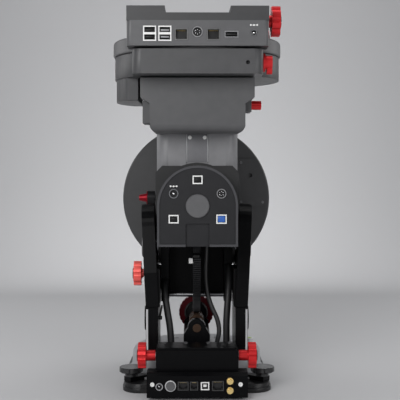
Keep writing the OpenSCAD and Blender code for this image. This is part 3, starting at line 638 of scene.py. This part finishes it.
capProfile = [(1, 0), (1, 0.16), (0.9, 0.22), (0.55, 0.22), (0.5, 0.14), (0, 0.14)]
knobCaps = {
    "saddle_knob_front": {"body": "clamp_front", "axis": (1, 0, 0), "radius": 8},
    "saddle_knob_rear": {"body": "clamp_rear", "axis": (1, 0, 0), "radius": 8},
    "azimuth_knob_left": {"body": "az_knob_left", "axis": (-1, 0, 0), "radius": 8},
    "azimuth_knob_right": {"body": "az_knob_right", "axis": (1, 0, 0), "radius": 8},
    "latitude_lock_knob": {"body": "latitude_lock", "axis": (-1, 0, 0), "radius": 8},
    "hand_wheel": {"body": "altitude_drive", "axis": (0, 1, 0), "radius": 16},
}
for nodeName, cap in knobCaps.items():
    low, high = (Vector(corner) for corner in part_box(nodeName))
    centre = (low + high) / 2
    for k in range(3):
        if cap["axis"][k]:
            centre[k] = high[k] if cap["axis"][k] > 0 else low[k]
    capMesh = bmesh.new()
    addTurned(capMesh, inMm(capProfile, cap["radius"]), centre, cap["axis"])
    makePiece(nodeName + "Cap", capMesh, blackPlastic, cap["body"])

# The hand wheel's hub also shows from the front
hubProfile = [(19, 0), (19, 1.5), (17, 4), (6.3, 4), (6.3, 0), (19, 0)]
wheelLow, wheelHigh = (Vector(corner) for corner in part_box("hand_wheel"))
hubCentre = ((wheelLow.x + wheelHigh.x) / 2, wheelLow.y, (wheelLow.z + wheelHigh.z) / 2)
wheelHub = bmesh.new()
addTurned(wheelHub, inMm(hubProfile), hubCentre, frontward)
makePiece("wheelHub", wheelHub, blackPlastic, "altitude_drive")
print("knobs capped")


# Small fittings, with profiles in millimetres

trunnionProfile = [(15.5, 0), (15.5, 1.6), (14, 2.8), (5, 2.8), (4, 1.6), (0, 1.6)]
trunnionLow, trunnionHigh = (Vector(corner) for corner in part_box("trunnions"))
pivot = (trunnionLow + trunnionHigh) / 2
caps = bmesh.new()
for sign, end in ((-1, trunnionLow.x), (1, trunnionHigh.x)):
    addTurned(caps, inMm(trunnionProfile), (end, pivot.y, pivot.z), (sign, 0, 0))
makePiece("trunnionCaps", caps, darkSteel, "ra_stator")

# The button's bezel takes the pale painted-highlight tone in place of a chrome reflection
bezelProfile = [(6.3, 0), (7.6, 0), (7.6, 1), (7.1, 1.5), (6.3, 1.5), (6.3, 0)]
buttonLow, buttonHigh = (Vector(corner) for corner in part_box("power_button"))
bezelCentre = ((buttonLow.x + buttonHigh.x) / 2, boxFront, (buttonLow.z + buttonHigh.z) / 2)
bezel = bmesh.new()
addTurned(bezel, inMm(bezelProfile), bezelCentre, frontward)
makePiece("buttonBezel", bezel, paintedHighlightMetal, "table")

vial = {
    "ring": [(5.15, 0), (7.2, 0), (7.2, 5.4), (6.6, 6.2), (5.15, 6.2), (5.15, 0)],
    "dome": [(4.9, 6.05), (4.2, 6.5), (2.2, 6.8), (0, 6.9)],
}
vialLow, vialHigh = (Vector(corner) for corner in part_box("level_vial"))
vialCentre = ((vialLow.x + vialHigh.x) / 2, (vialLow.y + vialHigh.y) / 2, vialLow.z)
# The vial's ring takes the pale painted-highlight tone in place of a chrome reflection
vialRing = bmesh.new()
addTurned(vialRing, inMm(vial["ring"]), vialCentre, (0, 0, 1))
makePiece("vialRing", vialRing, paintedHighlightMetal, "table")
vialDome = bmesh.new()
addTurned(vialDome, inMm(vial["dome"]), vialCentre, (0, 0, 1))
makePiece("vialDome", vialDome, vialGreen, "table")

# Stop and pad at the top of the toothed sector
stop = {"block": (-8.6, -73, 184), "blockSize": (6, 8, 7), "blockRound": 0.5,
        "pad": (-1, -74, 190.6), "padSize": (9, 9, 4), "padRound": 0.6}
stopBlock = bmesh.new()
addBox(stopBlock, Vector(stop["block"]) * mm, Vector(stop["blockSize"]) * mm, stop["blockRound"] * mm)
makePiece("sectorStop", stopBlock, whitePlastic, "ra_stator")
stopPad = bmesh.new()
addBox(stopPad, Vector(stop["pad"]) * mm, Vector(stop["padSize"]) * mm, stop["padRound"] * mm)
makePiece("sectorPad", stopPad, blackPlastic, "ra_stator")

# Slip pads and washers in the gaps between the fork arms and the cheeks
slip = {"face": 54.08, "back": 54.7, "front": -51.5, "rear": 2.5, "low": 114.2, "high": 169.5,
        "washerIn": 12.4, "washerOut": 26, "washerBack": 57.4}
padSize = (slip["back"] - slip["face"], slip["rear"] - slip["front"], slip["high"] - slip["low"])
washerThick = slip["washerBack"] - slip["face"]
washerProfile = [(slip["washerIn"], 0), (slip["washerOut"], 0), (slip["washerOut"], washerThick),
                 (slip["washerIn"], washerThick), (slip["washerIn"], 0)]
slipMesh = bmesh.new()
for sign in (-1, 1):
    padPlace = (sign * (slip["face"] + slip["back"]) / 2, (slip["front"] + slip["rear"]) / 2,
                (slip["low"] + slip["high"]) / 2)
    addBox(slipMesh, Vector(padPlace) * mm, Vector(padSize) * mm)
    addTurned(slipMesh, inMm(washerProfile), (sign * slip["face"] * mm, pivot.y, pivot.z), (sign, 0, 0))
makePiece("slipPads", slipMesh, blackPlastic, "table")

# Pale bands on the uprights' front chamfers: a painted highlight where the light catches the rounded edges
highlightStrips = {"x": 72, "y": -60, "wide": 4, "thick": 0.3, "sunk": 0.1, "low": 52, "high": 112, "turn": 45}
highlightStripSize = Vector((highlightStrips["wide"], highlightStrips["thick"], highlightStrips["high"] - highlightStrips["low"])) * mm
outward = highlightStrips["thick"] / 2 - highlightStrips["sunk"]
chamferTurn = math.radians(highlightStrips["turn"])
highlightStripMesh = bmesh.new()
for sign in (-1, 1):
    made = bmesh.ops.create_cube(highlightStripMesh, size=1.0)["verts"]
    bmesh.ops.scale(highlightStripMesh, verts=made, vec=highlightStripSize)
    turned = Matrix.Rotation(sign * chamferTurn, 3, "Z")
    bmesh.ops.rotate(highlightStripMesh, verts=made, cent=(0, 0, 0), matrix=turned)
    place = (sign * (highlightStrips["x"] + outward * math.sin(chamferTurn)),
             highlightStrips["y"] - outward * math.cos(chamferTurn), (highlightStrips["low"] + highlightStrips["high"]) / 2)
    bmesh.ops.translate(highlightStripMesh, verts=made, vec=Vector(place) * mm)
makePiece("uprightHighlightStrips", highlightStripMesh, paintedHighlightMetal, "table")

# Small latch on the inner face of the left upright: a stud with a leaning finger
latch = {"face": -60, "end": -50.5, "y": -50, "z": 98, "radius": 3, "chamfer": 1,
         "finger": 19, "fingerBack": 4, "lean": 12, "root": 1.6, "neck": 1.4, "tip": 0.6, "steps": 16}
studLong = latch["end"] - latch["face"]
studProfile = [(latch["radius"], 0), (latch["radius"], studLong - latch["chamfer"]),
               (latch["radius"] - latch["chamfer"], studLong), (0, studLong)]
fingerProfile = [(0, -latch["chamfer"]), (latch["root"], -latch["chamfer"]),
                 (latch["neck"], latch["finger"] - latch["chamfer"]), (latch["tip"], latch["finger"]),
                 (0, latch["finger"])]
fingerWay = (math.sin(math.radians(latch["lean"])), 0, math.cos(math.radians(latch["lean"])))
studFoot = Vector((latch["face"], latch["y"], latch["z"])) * mm
fingerFoot = Vector((latch["end"] - latch["fingerBack"], latch["y"], latch["z"])) * mm
latchMesh = bmesh.new()
addTurned(latchMesh, inMm(studProfile), studFoot, (1, 0, 0))
addTurned(latchMesh, inMm(fingerProfile), fingerFoot, fingerWay, steps=latch["steps"])
makePiece("uprightLatch", latchMesh, blackPlastic, "table")

# Polarity sign over a power socket: two ends, a centre and the line that joins them
polaritySigns = {
    "saddlePolarity": {"body": "dec_head", "centre": (70, 495.5), "front": saddleFront},
    "panelPolarity": {"body": "ra_rotor", "centre": (-31, 293.6),
                      "front": panelFront + panelRim["toFace"] * mm},
}
signFit = {"spots": (-4, 0, 4), "spot": [(1.1, -0.1), (1.1, 0.12), (0, 0.12)], "steps": 16,
           "line": (8, 0.2, 0.5)}
for signName, sign in polaritySigns.items():
    x, z = sign["centre"]
    signMesh = bmesh.new()
    for across in signFit["spots"]:
        place = ((x + across) * mm, sign["front"], z * mm)
        addTurned(signMesh, inMm(signFit["spot"]), place, frontward, steps=signFit["steps"])
    addInside(signMesh, sign["front"], (x, 0, z), signFit["line"])
    makePiece(signName, signMesh, whitePlastic, sign["body"])
print("fittings made")


# Camera, light and floor

camera = {"place": (-9.8, -1338, 325), "pitch": -2.45, "yaw": -0.645, "lens": 79.9, "sensor": 36}


def addCamera():
    data = bpy.data.cameras.new("camera")
    data.lens = camera["lens"]
    data.sensor_width = camera["sensor"]
    obj = bpy.data.objects.new("camera", data)
    obj.location = Vector(camera["place"]) * mm
    obj.rotation_euler = (math.radians(90 + camera["pitch"]), 0, math.radians(camera["yaw"]))
    bpy.context.scene.collection.objects.link(obj)
    bpy.context.scene.camera = obj


# All lamps look at the middle of the mount, except the back one, which lights the backdrop
mountMiddle = (0, -0.05, 0.27)
lamps = {
    "key": {"place": (-0.8, -1.7, 0.95), "aim": mountMiddle, "size": 1.0, "power": 22},
    "fill": {"place": (1.2, -1.5, 0.35), "aim": mountMiddle, "size": 1.2, "power": 10},
    "top": {"place": (0.1, 0.1, 1.9), "aim": mountMiddle, "size": 1.2, "power": 9},
    "rimLeft": {"place": (-1.2, 0.5, 0.7), "aim": mountMiddle, "size": 0.8, "power": 3},
    "rimRight": {"place": (1.2, 0.5, 0.7), "aim": mountMiddle, "size": 0.8, "power": 3},
    "back": {"place": (0, 0.9, 0.9), "aim": (0, 2.6, 0.75), "size": 0.5, "power": 11},
}


def addLamps():
    for name, lamp in lamps.items():
        data = bpy.data.lights.new(name, "AREA")
        data.size = lamp["size"]
        data.energy = lamp["power"]
        obj = bpy.data.objects.new(name, data)
        obj.location = lamp["place"]
        aim = Vector(lamp["aim"]) - obj.location
        obj.rotation_euler = aim.to_track_quat("-Z", "Y").to_euler()
        bpy.context.scene.collection.objects.link(obj)


# Floor that curves up into a wall
backdrop = {"half": 6.0, "front": -3.0, "back": 1.2, "round": 1.4, "height": 5.0, "steps": 12,
            "tone": (0.58, 0.58, 0.59)}


def addBackdrop():
    bm = bmesh.new()
    turn = backdrop["round"]
    line = [(backdrop["front"], 0)]
    for k in range(backdrop["steps"] + 1):
        angle = math.pi / 2 * k / backdrop["steps"]
        line.append((backdrop["back"] + turn * math.sin(angle), turn - turn * math.cos(angle)))
    line.append((backdrop["back"] + turn, backdrop["height"]))
    left = [bm.verts.new((-backdrop["half"], y, z)) for y, z in line]
    edges = [bm.edges.new(pair) for pair in zip(left, left[1:])]
    made = bmesh.ops.extrude_edge_only(bm, edges=edges)["geom"]
    right = [part for part in made if isinstance(part, bmesh.types.BMVert)]
    bmesh.ops.translate(bm, verts=right, vec=(2 * backdrop["half"], 0, 0))
    paper = surface("paper", backdrop["tone"], 0.8, spread=0.01, bump=0.0)
    sheet = makePiece("backdrop", bm, paper, None, smooth=60)


studio = {"colour": (0.8, 0.82, 0.85, 1), "strength": 0.22}


def setWorld():
    world = bpy.data.worlds.new("studio")
    bpy.context.scene.world = world
    world.use_nodes = True
    tone = world.node_tree.nodes["Background"]
    tone.inputs["Color"].default_value = studio["colour"]
    tone.inputs["Strength"].default_value = studio["strength"]


addCamera()
addLamps()
addBackdrop()
setWorld()
bpy.context.scene.view_settings.view_transform = "Standard"
print("stage set")
